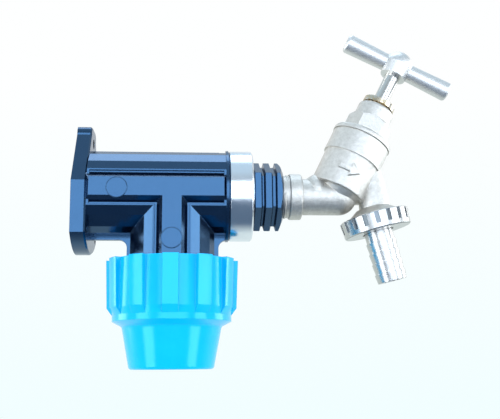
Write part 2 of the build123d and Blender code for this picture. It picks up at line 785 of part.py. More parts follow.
# Crutch handle: domed hub with two arms
with BuildPart() as crutch_handle:
    with BuildSketch(valve):
        with BuildLine():
            dome_base = hub_top - hub_radius
            foot_line = Line((0, hub_bottom), (hub_bottom_radius, hub_bottom))
            Line(foot_line @ 1, (hub_radius, dome_base))
            dome = CenterArc((0, dome_base), hub_radius, 0, 90)
            Line(dome @ 1, foot_line @ 0)
        make_face()
    revolve(axis=axis_of(valve))
    half_length = handle_length / 2
    arm_points = [
        (0, -half_length),
        (arm_end_radius, -half_length),
        (arm_root_radius, 0),
        (arm_end_radius, half_length),
        (0, half_length),
    ]
    arm_rounds = [
        ((arm_end_radius, -half_length), arm_end_round),
        ((arm_end_radius, half_length), arm_end_round),
    ]
    revolve(turned(handle, arm_points, arm_rounds), axis=axis_of(handle))
    drive_hole = drive_square + 2 * running_clearance
    with BuildSketch(cross_plane(valve, hub_bottom)):
        Rectangle(drive_hole, drive_hole)
    extrude(amount=drive_depth + running_clearance, mode=Mode.SUBTRACT)
    screw_plane = Plane(origin=handle.origin, x_dir=handle.y_dir, z_dir=(0, 1, 0))
    with BuildSketch(screw_plane):
        Circle(handle_screw_radius + running_clearance)
    extrude(amount=hub_radius, mode=Mode.SUBTRACT)

with BuildPart() as handle_screw:
    screw_start = drive_square / 2 + running_clearance
    with BuildSketch(screw_plane.offset(screw_start)):
        Circle(handle_screw_radius)
    extrude(amount=handle_screw_length)
    with BuildSketch(screw_plane.offset(screw_start + handle_screw_length)):
        RegularPolygon(radius=handle_screw_socket, side_count=6)
    extrude(amount=-handle_screw_length / 2, mode=Mode.SUBTRACT)

# Hose union: washer, ribbed tail and castellated nut
with BuildPart() as outlet_washer:
    seal_radius = outlet_thread_radius - moving_gap
    seal_points = step(outlet_bore_radius, seal_radius, tail_washer_top, tail_flange_top)
    revolve(turned(outlet, seal_points), axis=axis_of(outlet))

with BuildPart() as hose_tail:
    tail_end = union_bottom + tail_length
    flange_radius = outlet_thread_radius - moving_gap
    tail_points = [
        (tail_bore_radius, tail_flange_top),
        (flange_radius, tail_flange_top),
        (flange_radius, tail_flange_bottom),
        (tail_neck_radius, tail_flange_bottom),
    ]
    for mark in sorted(tail_step_marks, reverse=True):
        tail_points.append((tail_points[-1][0], tail_end - mark))
        tail_points.append((tail_radius, tail_end - mark))
        tail_points.append((tail_radius - tail_step, tail_end - mark + tail_step_marks[0]))
    tail_points.append((tail_bore_radius, tail_end))
    revolve(turned(outlet, tail_points), axis=axis_of(outlet))

with BuildPart() as union_nut:
    union_points = [
        (union_thread_radius, union_top),
        (union_top_radius, union_top),
        (union_bottom_radius, union_bottom),
        (tail_radius + moving_gap, union_bottom),
        (tail_radius + moving_gap, lip_top),
        (union_thread_radius, lip_top),
    ]
    revolve(turned(outlet, union_points), axis=axis_of(outlet))
    rim_edges = union_nut.edges().filter_by(GeomType.CIRCLE).sort_by(SortBy.RADIUS)[-2:]
    chamfer(rim_edges, length=union_chamfer)
    with BuildSketch(cross_plane(outlet, union_top)):
        with PolarLocations(union_top_radius, union_notch_count):
            Rectangle(2 * union_notch_depth, union_notch_width)
    extrude(amount=union_notch_share * union_height, mode=Mode.SUBTRACT)

pieces = {
    "wall_elbow": wall_elbow,
    "reinforcing_ring": reinforcing_ring,
    "compression_nut": compression_nut,
    "grip_ring": grip_ring,
    "thrust_ring": thrust_ring,
    "pipe_seal": pipe_seal,
    "reducing_bush": reducing_bush,
    "tap_body": tap_body,
    "bonnet_washer": bonnet_washer,
    "bonnet": bonnet,
    "gland_packing": gland_packing,
    "gland_nut": gland_nut,
    "spindle": spindle,
    "jumper_valve": jumper_valve,
    "tap_washer": tap_washer,
    "washer_nut": washer_nut,
    "crutch_handle": crutch_handle,
    "handle_screw": handle_screw,
    "outlet_washer": outlet_washer,
    "hose_tail": hose_tail,
    "union_nut": union_nut,
}
os.makedirs("parts", exist_ok=True)
for name, piece in pieces.items():
    piece.part.label = name
    export_step(piece.part, f"parts/{name}.step")
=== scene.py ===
"""Dresses the wall plate bib tap: finishes, screw threads, flow arrow, studio and camera.

Every length is in metres unless its name ends in _mm, and every piece sits in the row's own frame:
X out of the wall along the barrel, Z up, and the viewer on the -Y side.
"""
import logging
import math
from dataclasses import dataclass, replace
from enum import Enum
from typing import Any

import bpy
import numpy as np
from mathutils import Matrix, Vector


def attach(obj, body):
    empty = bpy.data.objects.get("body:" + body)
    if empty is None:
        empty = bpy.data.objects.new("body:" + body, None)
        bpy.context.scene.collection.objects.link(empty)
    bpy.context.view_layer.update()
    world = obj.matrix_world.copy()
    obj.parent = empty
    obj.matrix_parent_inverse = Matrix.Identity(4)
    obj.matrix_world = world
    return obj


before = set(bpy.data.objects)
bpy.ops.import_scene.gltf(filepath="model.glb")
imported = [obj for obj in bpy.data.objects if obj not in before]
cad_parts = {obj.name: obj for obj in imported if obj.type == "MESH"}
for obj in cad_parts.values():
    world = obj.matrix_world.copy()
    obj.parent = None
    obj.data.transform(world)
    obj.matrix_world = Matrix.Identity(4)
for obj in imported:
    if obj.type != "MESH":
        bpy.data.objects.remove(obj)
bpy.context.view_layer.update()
MM = 0.001
IMAGE_WIDTH = 500
SENSOR_WIDTH_MM = 36.0

# Places and leans of the axes that the pieces were turned about
BRANCH_DISTANCE_MM = 46.5
VALVE_DISTANCE_MM = 126.0
VALVE_TILT_DEGREES = 27.0
OUTLET_DISTANCE_MM = 146.7
OUTLET_DROP_MM = 13.4
OUTLET_TILT_DEGREES = 14.0

# The sRGB curve: a straight foot, then a power
SRGB_FOOT = 0.04045
SRGB_FOOT_SLOPE = 12.92
SRGB_OFFSET = 0.055
SRGB_POWER = 2.4

# Sockets of the mix node when it mixes colours
MIX_SHARE, MIX_FIRST, MIX_SECOND, MIX_RESULT = 0, 6, 7, 2

# Noise runs from zero to one about this middle
NOISE_MIDDLE = 0.5
# Roughness drifts in patches this many times finer than the colour's, between these noise values
SMEARS_PER_PATCH = 4
SMEAR_LOW, SMEAR_HIGH = 0.3, 0.7
# Samples of the rounded look of edges
EDGE_SAMPLES = 4
# Lathe lines on metal lie about 0.1 mm apart, and are drawn this coarse so that they show
LATHE_LINES_MM = 0.35

log = logging.getLogger("bib_tap")


class Turning(Enum):
    """Axis that a piece was turned about."""

    BARREL = "barrel"
    BRANCH = "branch"
    VALVE = "valve"
    OUTLET = "outlet"


def linear(hex_colour: str) -> tuple[float, float, float, float]:
    """Turns an sRGB hex colour into linear light.

    Args:
        hex_colour: Six hex digits with a leading hash.

    Returns:
        Linear red, green, blue and an alpha of one.
    """
    parts = [int(hex_colour[i:i + 2], 16) / 255 for i in (1, 3, 5)]
    red, green, blue = (
        part / SRGB_FOOT_SLOPE if part <= SRGB_FOOT
        else ((part + SRGB_OFFSET) / (1 + SRGB_OFFSET)) ** SRGB_POWER for part in parts)
    return (red, green, blue, 1.0)


def add_node(tree: bpy.types.NodeTree, kind: str, settings: dict[str, Any] | None = None,
             inputs: dict[str | int, Any] | None = None) -> bpy.types.Node:
    """Adds a node with its settings, its socket values and its links.

    Args:
        tree: Node tree that takes the node.
        kind: Node type name.
        settings: Node properties by name.
        inputs: Socket values by name or index, where an output socket makes a link.

    Returns:
        The new node.
    """
    node = tree.nodes.new(kind)
    for name, value in (settings or {}).items():
        setattr(node, name, value)
    for name, value in (inputs or {}).items():
        if isinstance(value, bpy.types.NodeSocket):
            tree.links.new(value, node.inputs[name])
        else:
            node.inputs[name].default_value = value
    return node


def per_metre(size_mm: float) -> float:
    """Gives a texture scale for a pattern of a real size in millimetres."""
    return 1.0 / (size_mm * MM)


def direction(tilt_degrees: float, down: bool) -> Vector:
    """Gives the unit direction that leans towards +X from the upright or from straight down."""
    angle = math.radians(tilt_degrees)
    return Vector((math.sin(angle), 0.0, -math.cos(angle) if down else math.cos(angle)))


@dataclass(frozen=True)
class Axle:
    """Axis of a turned piece, with two directions square to it."""

    origin: Vector
    along: Vector

    @property
    def sideways(self) -> Vector:
        """Direction square to the axis and to Y, a quarter turn on from the viewer's side."""
        return Vector((0.0, 1.0, 0.0)).cross(self.along).normalized()

    @property
    def towards_viewer(self) -> Vector:
        """Direction square to the axis that faces the viewer."""
        return Vector((0.0, -1.0, 0.0))

    def points(self, radius: np.ndarray, angle: np.ndarray, along: np.ndarray) -> np.ndarray:
        """Places cylinder coordinates.

        A point is the origin, plus the axis times along, plus the radius turned by the angle.

        Args:
            radius: Distances from the axis.
            angle: Turns from the viewer's side towards the sideways direction, in radians.
            along: Distances along the axis.

        Returns:
            Points with a last axis of three.
        """
        axis, side, front = (
            np.array(vector) for vector in (self.along, self.sideways, self.towards_viewer))
        turned = np.cos(angle)[..., None] * front + np.sin(angle)[..., None] * side
        return np.array(self.origin) + along[..., None] * axis + radius[..., None] * turned


AXLES = {
    Turning.BARREL: Axle(Vector((0.0, 0.0, 0.0)), Vector((1.0, 0.0, 0.0))),
    Turning.BRANCH: Axle(Vector((BRANCH_DISTANCE_MM, 0.0, 0.0)) * MM, direction(0.0, True)),
    Turning.VALVE: Axle(Vector((VALVE_DISTANCE_MM, 0.0, 0.0)) * MM,
                        direction(VALVE_TILT_DEGREES, False)),
    Turning.OUTLET: Axle(Vector((OUTLET_DISTANCE_MM, 0.0, -OUTLET_DROP_MM)) * MM,
                         direction(OUTLET_TILT_DEGREES, True)),
}


def grid_faces(rows: int, columns: int, wrap: bool) -> np.ndarray:
    """Numbers the quads of a grid of points, row after row.

    Args:
        rows: Points along the first parameter.
        columns: Points along the second parameter.
        wrap: Whether the second parameter closes on itself.

    Returns:
        Vertex numbers of each quad.
    """
    row, column = np.meshgrid(
        np.arange(rows - 1), np.arange(columns if wrap else columns - 1), indexing="ij")
    following = (column + 1) % columns
    corners = [row * columns + column, row * columns + following,
               (row + 1) * columns + following, (row + 1) * columns + column]
    return np.stack(corners, axis=-1).reshape(-1, 4)


def new_piece(name: str, points: np.ndarray, faces: list[list[int]], body: str,
              material: bpy.types.Material, smooth: bool = True) -> bpy.types.Object:
    """Makes a mesh piece that rides on a body.

    Args:
        name: Name of the piece.
        points: Vertex places in metres.
        faces: Vertex numbers of each face.
        body: Body that carries the piece.
        material: Finish of the piece.
        smooth: Whether faces are shaded smooth.

    Returns:
        The new object.
    """
    mesh = bpy.data.meshes.new(name)
    mesh.from_pydata(points.reshape(-1, 3).tolist(), [], faces)
    mesh.polygons.foreach_set("use_smooth", np.full(len(mesh.polygons), smooth))
    mesh.materials.append(material)
    mesh.update()
    piece = bpy.data.objects.new(name, mesh)
    bpy.context.scene.collection.objects.link(piece)
    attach(piece, body)
    log.info("piece %s on %s", name, body)
    return piece


def give_finish(node: str, material: bpy.types.Material) -> None:
    """Gives a CAD node its finish.

    Args:
        node: Name of the CAD node.
        material: Finish that takes the place of the node's own.
    """
    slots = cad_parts[node].material_slots
    if len(slots) == 0:
        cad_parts[node].data.materials.append(material)
    for slot in slots:
        slot.material = material
    log.info("finish %s on %s", material.name, node)


@dataclass(frozen=True)
class Noise:
    """Fineness of a noise pattern: its octaves and how strongly each finer one counts."""

    detail: float
    roughness: float

    @property
    def sockets(self) -> dict[str | int, Any]:
        """Socket values of a noise node."""
        return {"Detail": self.detail, "Roughness": self.roughness}


PATCH_NOISE = Noise(3.0, 0.55)
SMEAR_NOISE = Noise(4.0, 0.6)
GRAIN_NOISE = Noise(5.0, 0.6)
LATHE_NOISE = Noise(4.0, 0.7)


@dataclass(frozen=True)
class PaintedShadeBand:
    """Band of radii about an axis where a dark colour is painted in as shade, as in notch floors.
    """

    axis: Turning
    radius_mm: float
    half_width_mm: float
    colour: str


@dataclass(frozen=True)
class Finish:
    """Surface of one real material: its colour, gloss, mottle and grain.

    The colour drifts between two shades in soft patches, and roughness drifts in finer patches.
    A grain of the stated size and depth stands in the bump, drawn as lines across the axis where
    the piece was turned, and edges catch light as if rounded by the edge radius.
    """

    name: str
    colour: str
    shade: str
    roughness: float
    roughness_drift: float
    patch_mm: float
    grain_mm: float
    grain_depth_mm: float
    metallic: float = 0.0
    ior: float = 1.5
    lathe: Turning | None = None
    edge_mm: float = 0.2
    patch_contrast: float = 1.0
    glint: str = "#ffffff"
    glint_level: float = 0.5
    # Band of radii where shade is painted dark into the colour
    painted_shade_band: PaintedShadeBand | None = None
    glow: float = 0.0

    def build(self) -> bpy.types.Material:
        """Makes the material.

        Returns:
            A node material that reads Object coordinates only.
        """
        material = bpy.data.materials.new(self.name)
        material.use_nodes = True
        tree = material.node_tree
        tree.nodes.clear()
        place = add_node(tree, "ShaderNodeTexCoord").outputs["Object"]
        tint = self.mottle(tree, place)
        smears = add_node(tree, "ShaderNodeTexNoise", inputs={
            "Vector": place, "Scale": per_metre(self.patch_mm / SMEARS_PER_PATCH),
            **SMEAR_NOISE.sockets})
        gloss = add_node(tree, "ShaderNodeMapRange", inputs={
            "Value": smears.outputs["Fac"], "From Min": SMEAR_LOW, "From Max": SMEAR_HIGH,
            "To Min": self.roughness, "To Max": self.roughness + self.roughness_drift})
        edge = add_node(tree, "ShaderNodeBevel", {"samples": EDGE_SAMPLES}, {
            "Radius": self.edge_mm * MM})
        bump = add_node(tree, "ShaderNodeBump", inputs={
            "Strength": 1.0, "Distance": self.grain_depth_mm * MM,
            "Height": self.relief(tree, place), "Normal": edge.outputs["Normal"]})
        shader = add_node(tree, "ShaderNodeBsdfPrincipled", inputs={
            "Base Color": self.with_painted_shade(tree, place, tint), "Roughness": gloss.outputs["Result"],
            "Metallic": self.metallic, "IOR": self.ior, "Specular Tint": linear(self.glint),
            "Specular IOR Level": self.glint_level, "Emission Color": tint,
            "Emission Strength": self.glow, "Normal": bump.outputs["Normal"]})
        add_node(tree, "ShaderNodeOutputMaterial", inputs={"Surface": shader.outputs["BSDF"]})
        return material

    def mottle(self, tree: bpy.types.NodeTree,
               place: bpy.types.NodeSocket) -> bpy.types.NodeSocket:
        """Mixes the two shades by soft patches of noise, more sharply at a higher contrast.

        Args:
            tree: Node tree of the material.
            place: Object coordinates.

        Returns:
            Colour of the surface.
        """
        patches = add_node(tree, "ShaderNodeTexNoise", inputs={
            "Vector": place, "Scale": per_metre(self.patch_mm), **PATCH_NOISE.sockets})
        spread = NOISE_MIDDLE / self.patch_contrast
        share = add_node(tree, "ShaderNodeMapRange", inputs={
            "Value": patches.outputs["Fac"], "From Min": NOISE_MIDDLE - spread,
            "From Max": NOISE_MIDDLE + spread})
        tint = add_node(tree, "ShaderNodeMix", {"data_type": "RGBA"}, {
            MIX_SHARE: share.outputs["Result"], MIX_FIRST: linear(self.colour),
            MIX_SECOND: linear(self.shade)})
        return tint.outputs[MIX_RESULT]

    def with_painted_shade(self, tree: bpy.types.NodeTree, place: bpy.types.NodeSocket,
               colour: bpy.types.NodeSocket) -> bpy.types.NodeSocket:
        """Puts the band's dark colour, painted shade, where the distance from its axis lies in the
        band.

        Args:
            tree: Node tree of the material.
            place: Object coordinates.
            colour: Colour of the buffed surface.

        Returns:
            Colour of the whole surface.
        """
        if self.painted_shade_band is None:
            return colour
        axle = AXLES[self.painted_shade_band.axis]
        arm = add_node(tree, "ShaderNodeVectorMath", {"operation": "SUBTRACT"}, {
            0: place, 1: axle.origin})
        lever = add_node(tree, "ShaderNodeVectorMath", {"operation": "CROSS_PRODUCT"}, {
            0: arm.outputs["Vector"], 1: axle.along})
        radius = add_node(tree, "ShaderNodeVectorMath", {"operation": "LENGTH"}, {
            0: lever.outputs["Vector"]})
        inside = add_node(tree, "ShaderNodeMath", {"operation": "COMPARE"}, {
            0: radius.outputs["Value"], 1: self.painted_shade_band.radius_mm * MM,
            2: self.painted_shade_band.half_width_mm * MM})
        # Painted shade: the band's dark colour stands in for the shadow in the notches
        mixed = add_node(tree, "ShaderNodeMix", {"data_type": "RGBA"}, {
            MIX_SHARE: inside.outputs["Value"], MIX_FIRST: colour,
            MIX_SECOND: linear(self.painted_shade_band.colour)})
        return mixed.outputs[MIX_RESULT]

    def relief(self, tree: bpy.types.NodeTree,
               place: bpy.types.NodeSocket) -> bpy.types.NodeSocket:
        """Draws the grain's height: fine noise, or lines across the axis of a turned piece.

        Args:
            tree: Node tree of the material.
            place: Object coordinates.

        Returns:
            Height between zero and one.
        """
        if self.lathe is None:
            grain = add_node(tree, "ShaderNodeTexNoise", inputs={
                "Vector": place, "Scale": per_metre(self.grain_mm), **GRAIN_NOISE.sockets})
            return grain.outputs["Fac"]
        along = add_node(tree, "ShaderNodeVectorMath", {"operation": "DOT_PRODUCT"}, {
            0: place, 1: AXLES[self.lathe].along})
        lines = add_node(tree, "ShaderNodeTexNoise", {"noise_dimensions": "1D"}, {
            "W": along.outputs["Value"], "Scale": per_metre(self.grain_mm),
            **LATHE_NOISE.sockets})
        return lines.outputs["Fac"]


# Injection-moulded black polypropylene: near black and glossy, with the sky mirrored in blue.
# Its IOR is above the plastic's own, to match the strong gloss of the object.
BLACK_POLYPROPYLENE = Finish(
    "moulded_black_polypropylene", "#020610", "#040a18", roughness=0.14, roughness_drift=0.08,
    patch_mm=18.0, grain_mm=0.5, grain_depth_mm=0.012, ior=1.7, edge_mm=0.3,
    glint="#86c4ff", glint_level=1.0)
# Injection-moulded blue polypropylene: bright cyan blue, glossy and slightly waxy
BLUE_POLYPROPYLENE = Finish(
    "moulded_blue_polypropylene", "#029fd5", "#08a9d9", roughness=0.13, roughness_drift=0.06,
    patch_mm=14.0, grain_mm=0.6, grain_depth_mm=0.015, ior=1.49, edge_mm=0.5,
    glint="#90e4ff", glint_level=0.7)
# Moulded acetal: white and waxy
WHITE_ACETAL = Finish(
    "moulded_white_acetal", "#efeee8", "#e3e2da", roughness=0.35, roughness_drift=0.1,
    patch_mm=9.0, grain_mm=0.4, grain_depth_mm=0.01, ior=1.48)
# Turned and polished stainless steel: bright, with fine lines round its axis
STAINLESS_STEEL = Finish(
    "polished_stainless_steel", "#e4e8ec", "#d6dbe1", roughness=0.16, roughness_drift=0.08,
    patch_mm=12.0, grain_mm=LATHE_LINES_MM, grain_depth_mm=0.003, metallic=1.0,
    lathe=Turning.BARREL)
# Nickel over sand-cast brass: soft grey, with the sand's grain drawn coarse enough to show
CAST_NICKEL = Finish(
    "satin_nickel_on_cast_brass", "#dad6cf", "#b7b2a9", roughness=0.42, roughness_drift=0.16,
    patch_mm=2.0, grain_mm=0.8, grain_depth_mm=0.2, metallic=1.0, patch_contrast=1.3)
# Nickel over turned and buffed brass: bright, with faint lathe lines
BRIGHT_NICKEL_VALVE = Finish(
    "bright_nickel_on_turned_spindle", "#dcd9d3", "#cfcbc4", roughness=0.13, roughness_drift=0.08,
    patch_mm=9.0, grain_mm=LATHE_LINES_MM, grain_depth_mm=0.003, metallic=1.0,
    lathe=Turning.VALVE)
BRIGHT_NICKEL_OUTLET = Finish(
    "bright_nickel_on_turned_tail", "#c6c4c0", "#b8b6b2", roughness=0.24, roughness_drift=0.1,
    patch_mm=9.0, grain_mm=LATHE_LINES_MM, grain_depth_mm=0.004, metallic=1.0,
    lathe=Turning.OUTLET)
# The same nickel on the union nut, with shade painted dark into the notch floors
NOTCHED_NICKEL = replace(
    BRIGHT_NICKEL_OUTLET, name="bright_nickel_with_painted_notch_shade",
    painted_shade_band=PaintedShadeBand(Turning.OUTLET, radius_mm=16.22, half_width_mm=0.07, colour="#6c7275"))
# Nickel worn through to the brass by the gland spanner: bright with yellow patches
WORN_NICKEL = Finish(
    "worn_nickel_on_brass_gland", "#d6d2ca", "#c4ad84", roughness=0.18, roughness_drift=0.12,
    patch_mm=2.5, grain_mm=LATHE_LINES_MM, grain_depth_mm=0.004, metallic=1.0,
    lathe=Turning.VALVE, patch_contrast=3.0)
# Nickel over buffed hot-pressed brass: soft sheen with slight orange peel
BUFFED_NICKEL = Finish(
    "buffed_nickel_on_pressed_brass", "#d9d7d4", "#cdcbc7", roughness=0.4, roughness_drift=0.1,
    patch_mm=8.0, grain_mm=0.9, grain_depth_mm=0.003, metallic=1.0)
# Machined brass with no plating: warm yellow with lathe lines
BARE_BRASS = Finish(
    "machined_brass", "#c9a35a", "#b48f4b", roughness=0.24, roughness_drift=0.1,
    patch_mm=6.0, grain_mm=LATHE_LINES_MM, grain_depth_mm=0.004, metallic=1.0,
    lathe=Turning.VALVE)
# Nitrile rubber: matt black with bloom
NITRILE_RUBBER = Finish(
    "nitrile_rubber", "#161616", "#262626", roughness=0.6, roughness_drift=0.2,
    patch_mm=5.0, grain_mm=0.3, grain_depth_mm=0.02, ior=1.52)
# Vulcanised fibre: reddish brown sheet, dry and slightly hairy
VULCANISED_FIBRE = Finish(
    "vulcanised_fibre", "#6b2a1c", "#552014", roughness=0.55, roughness_drift=0.2,
    patch_mm=4.0, grain_mm=0.25, grain_depth_mm=0.03)
# Graphited packing yarn: dark and dry
GRAPHITE_PACKING = Finish(
    "graphited_packing", "#2a2a2c", "#1a1a1c", roughness=0.5, roughness_drift=0.2,
    patch_mm=3.0, grain_mm=0.4, grain_depth_mm=0.05)
# Opal acrylic of the studio's light table, lit from beneath: pale, with faint clouding
OPAL_ACRYLIC = Finish(
    "backlit_opal_acrylic", "#eef3f5", "#e6edf1", roughness=0.75, roughness_drift=0.1,
    patch_mm=90.0, grain_mm=2.0, grain_depth_mm=0.02, ior=1.49, glow=0.33)


@dataclass(frozen=True)
class ScrewThread:
    """Helical thread: a ridge carried round an axis at its pitch, fading out at both ends."""

    name: str
    axle: Axle
    root_radius_mm: float
    depth_mm: float
    pitch_mm: float
    start_mm: float
    end_mm: float
    flank_share: float = 0.44
    crest_share: float = 0.09
    sunk_mm: float = 0.08
    fade_degrees: float = 60.0
    fade_least: float = 0.02
    steps_per_turn: int = 64
    least_steps: int = 8

    def build(self, body: str, slot: str, material: bpy.types.Material) -> bpy.types.Object:
        """Makes the ridge.

        A point at helix angle u and profile place v lies at the root radius plus the ridge's
        height at v, and along the axis at the start plus the pitch times the turns plus the
        profile's offset at v. The ridge's foot is sunk a little into the root cylinder.

        Args:
            body: Body that carries the thread.
            slot: Not used.
            material: Finish of the thread.

        Returns:
            The thread's object.
        """
        flank = self.flank_share * self.pitch_mm
        crest = self.crest_share * self.pitch_mm
        offset = np.array([flank, crest, -crest, -flank])
        height = np.array([-self.sunk_mm, self.depth_mm, self.depth_mm, -self.sunk_mm])
        turns = (self.end_mm - self.start_mm - 2 * flank) / self.pitch_mm
        steps = max(self.least_steps, int(turns * self.steps_per_turn))
        angle = np.linspace(0.0, 2 * math.pi * turns, steps)
        from_end = np.minimum(angle, angle[-1] - angle)
        fade = np.clip(from_end / math.radians(self.fade_degrees), self.fade_least, 1.0)
        radius = self.root_radius_mm + np.where(height > 0, height * fade[:, None], height)
        middle = self.start_mm + flank + self.pitch_mm * angle / (2 * math.pi)
        along = middle[:, None] + offset
        points = self.axle.points(radius * MM, angle[:, None], along * MM)
        corners = len(offset)
        last = (steps - 1) * corners
        caps = [list(reversed(range(corners))), list(range(last, last + corners))]
        faces = grid_faces(steps, corners, True).tolist() + caps
        return new_piece(self.name, points, faces, body, material)


@dataclass(frozen=True)
class FlowArrow:
    """Raised arrow cast on the chamber that shows which way the water runs.

    The arrow is drawn in rings from its foot inside the wall to its top. Each ring has its share of
    the arrow's height and of its outline.
    """

    axle: Axle
    chamber_bottom_mm: float = 3.2
    chamber_bottom_radius_mm: float = 13.9
    chamber_top_mm: float = 20.9
    chamber_top_radius_mm: float = 14.2
    middle_mm: float = 12.4
    length_mm: float = 12.0
    shaft_mm: float = 2.8
    head_mm: float = 7.6
    head_length_mm: float = 5.4
    height_mm: float = 1.1
    ring_heights: tuple[float, ...] = (-0.3, 0.55, 1.0)
    ring_shrinks: tuple[float, ...] = (1.0, 0.95, 0.8)
    steps_per_edge: int = 8

    def outline(self) -> np.ndarray:
        """Draws the arrow flat, with its tip in the direction round the chamber.

        Returns:
            Corner points round the chamber and along its axis, in millimetres.
        """
        tip = self.length_mm / 2
        neck = tip - self.head_length_mm
        half_shaft = self.shaft_mm / 2
        half_head = self.head_mm / 2
        return np.array([(-tip, -half_shaft), (neck, -half_shaft), (neck, -half_head), (tip, 0.0),
                         (neck, half_head), (neck, half_shaft), (-tip, half_shaft)])

    def build(self, body: str, slot: str, material: bpy.types.Material) -> bpy.types.Object:
        """Makes the arrow: its outline, divided finely, wrapped on the cone and stepped outward.

        A point of the outline lies at the cone's radius plus its ring's height, turned by its
        distance round the chamber over that radius. Upper rings shrink, so the edge is rounded.

        Args:
            body: Body that carries the arrow.
            slot: Not used.
            material: Finish of the arrow.

        Returns:
            The arrow's object.
        """
        corners = self.outline()
        edges = np.roll(corners, -1, axis=0) - corners
        share = np.linspace(0.0, 1.0, self.steps_per_edge, endpoint=False)
        ring = (corners[:, None] + edges[:, None] * share[None, :, None]).reshape(-1, 2)
        heights = np.array(self.ring_heights) * self.height_mm
        shrink = np.array(self.ring_shrinks)
        across = ring[None, :, 0] * shrink[:, None]
        along = self.middle_mm + ring[None, :, 1] * shrink[:, None]
        slope = (self.chamber_top_radius_mm - self.chamber_bottom_radius_mm) / (
            self.chamber_top_mm - self.chamber_bottom_mm)
        wall = self.chamber_bottom_radius_mm + slope * (along - self.chamber_bottom_mm)
        points = self.axle.points((wall + heights[:, None]) * MM, across / wall, along * MM)
        count = len(ring)
        top = (len(heights) - 1) * count
        faces = grid_faces(len(heights), count, True).tolist() + [list(range(top, top + count))]
        return new_piece("flow_arrow", points, faces, body, material, smooth=False)


@dataclass(frozen=True)
class MouldRings:
    """Fine bead that the mould's pins left round each disc of the raised T."""

    barrel_distance_mm: float = 21.0
    barrel_drop_mm: float = 0.7
    branch_distance_mm: float = BRANCH_DISTANCE_MM
    branch_drop_mm: float = 24.2
    face_mm: float = 21.6
    ring_radius_mm: float = 4.75
    bead_radius_mm: float = 0.25
    ring_steps: int = 72
    bead_steps: int = 10

    def build(self, body: str, slot: str, material: bpy.types.Material) -> bpy.types.Object:
        """Makes the beads: one ring round each disc, two on the front and two on the back.

        A point at ring angle u and bead angle v lies across the face at the ring's radius plus the
        bead's radius times the cosine of v, turned by u, and out of the face at the bead's radius
        times the sine of v.

        Args:
            body: Body that carries the beads.
            slot: Not used.
            material: Finish of the beads.

        Returns:
            The beads' object.
        """
        ring_angles = np.linspace(0.0, 2 * math.pi, self.ring_steps, endpoint=False)
        bead_angles = np.linspace(0.0, 2 * math.pi, self.bead_steps, endpoint=False)
        turn, bend = np.meshgrid(ring_angles, bead_angles, indexing="ij")
        reach = self.ring_radius_mm + self.bead_radius_mm * np.cos(bend)
        rise = self.face_mm + self.bead_radius_mm * np.sin(bend)
        closed = grid_faces(self.ring_steps + 1, self.bead_steps, True) % turn.size
        discs = ((self.barrel_distance_mm, self.barrel_drop_mm),
                 (self.branch_distance_mm, self.branch_drop_mm))
        points, faces = [], []
        for facing in (-1, 1):
            for distance, drop in discs:
                quads = closed + turn.size * len(points)
                faces.extend(quads[:, ::facing].tolist())
                points.append(np.stack([
                    distance + reach * np.cos(turn), facing * rise,
                    reach * np.sin(turn) - drop], axis=-1))
        return new_piece("mould_rings", np.array(points) * MM, faces, body, material)


@dataclass(frozen=True)
class WallFitting:
    """Black wall elbow with its steel ring and reducing bush."""

    body: str = "fitting"
    thread_root_radius_mm: float = 24.1
    thread_depth_mm: float = 1.0
    thread_pitch_mm: float = 5.0
    thread_start_mm: float = 34.4
    thread_end_mm: float = 51.8
    thread_flank_share: float = 0.3
    thread_crest_share: float = 0.12

    def dress(self) -> None:
        """Finishes the moulding, the ring and the bush, and adds the spigot's thread and beads."""
        black = BLACK_POLYPROPYLENE.build()
        for node in ("wall_elbow", "reducing_bush"):
            give_finish(node, black)
        give_finish("reinforcing_ring", STAINLESS_STEEL.build())
        thread = ScrewThread(
            "spigot_thread", AXLES[Turning.BRANCH], self.thread_root_radius_mm,
            self.thread_depth_mm, self.thread_pitch_mm, self.thread_start_mm, self.thread_end_mm,
            flank_share=self.thread_flank_share, crest_share=self.thread_crest_share)
        thread.build(self.body, "black_plastic", black)
        MouldRings().build(self.body, "black_plastic", black)


@dataclass(frozen=True)
class PipeJoint:
    """Blue compression nut with the rings that grip and seal the pipe."""

    def dress(self) -> None:
        """Finishes the nut, the rings and the seal."""
        give_finish("compression_nut", BLUE_POLYPROPYLENE.build())
        acetal = WHITE_ACETAL.build()
        for node in ("grip_ring", "thrust_ring"):
            give_finish(node, acetal)
        give_finish("pipe_seal", NITRILE_RUBBER.build())


@dataclass(frozen=True)
class BibTap:
    """Cast tap body with its headwork and T handle."""

    body: str = "fitting"
    thread_root_radius_mm: float = 10.48
    thread_depth_mm: float = 0.35
    thread_pitch_mm: float = 1.814
    thread_start_mm: float = 99.8
    thread_end_mm: float = 103.05

    def dress(self) -> None:
        """Finishes the castings, turned pieces and washers, and adds the arrow and inlet thread."""
        cast = CAST_NICKEL.build()
        for node in ("tap_body", "bonnet"):
            give_finish(node, cast)
        give_finish("crutch_handle", BUFFED_NICKEL.build())
        give_finish("spindle", BRIGHT_NICKEL_VALVE.build())
        give_finish("gland_nut", WORN_NICKEL.build())
        brass = BARE_BRASS.build()
        for node in ("jumper_valve", "washer_nut"):
            give_finish(node, brass)
        give_finish("handle_screw", STAINLESS_STEEL.build())
        give_finish("tap_washer", NITRILE_RUBBER.build())
        give_finish("bonnet_washer", VULCANISED_FIBRE.build())
        give_finish("gland_packing", GRAPHITE_PACKING.build())
        FlowArrow(AXLES[Turning.VALVE]).build(self.body, "cast_nickel_brass", cast)
        thread = ScrewThread(
            "inlet_thread", AXLES[Turning.BARREL], self.thread_root_radius_mm,
            self.thread_depth_mm, self.thread_pitch_mm, self.thread_start_mm, self.thread_end_mm)
        thread.build(self.body, "cast_nickel_brass", cast)


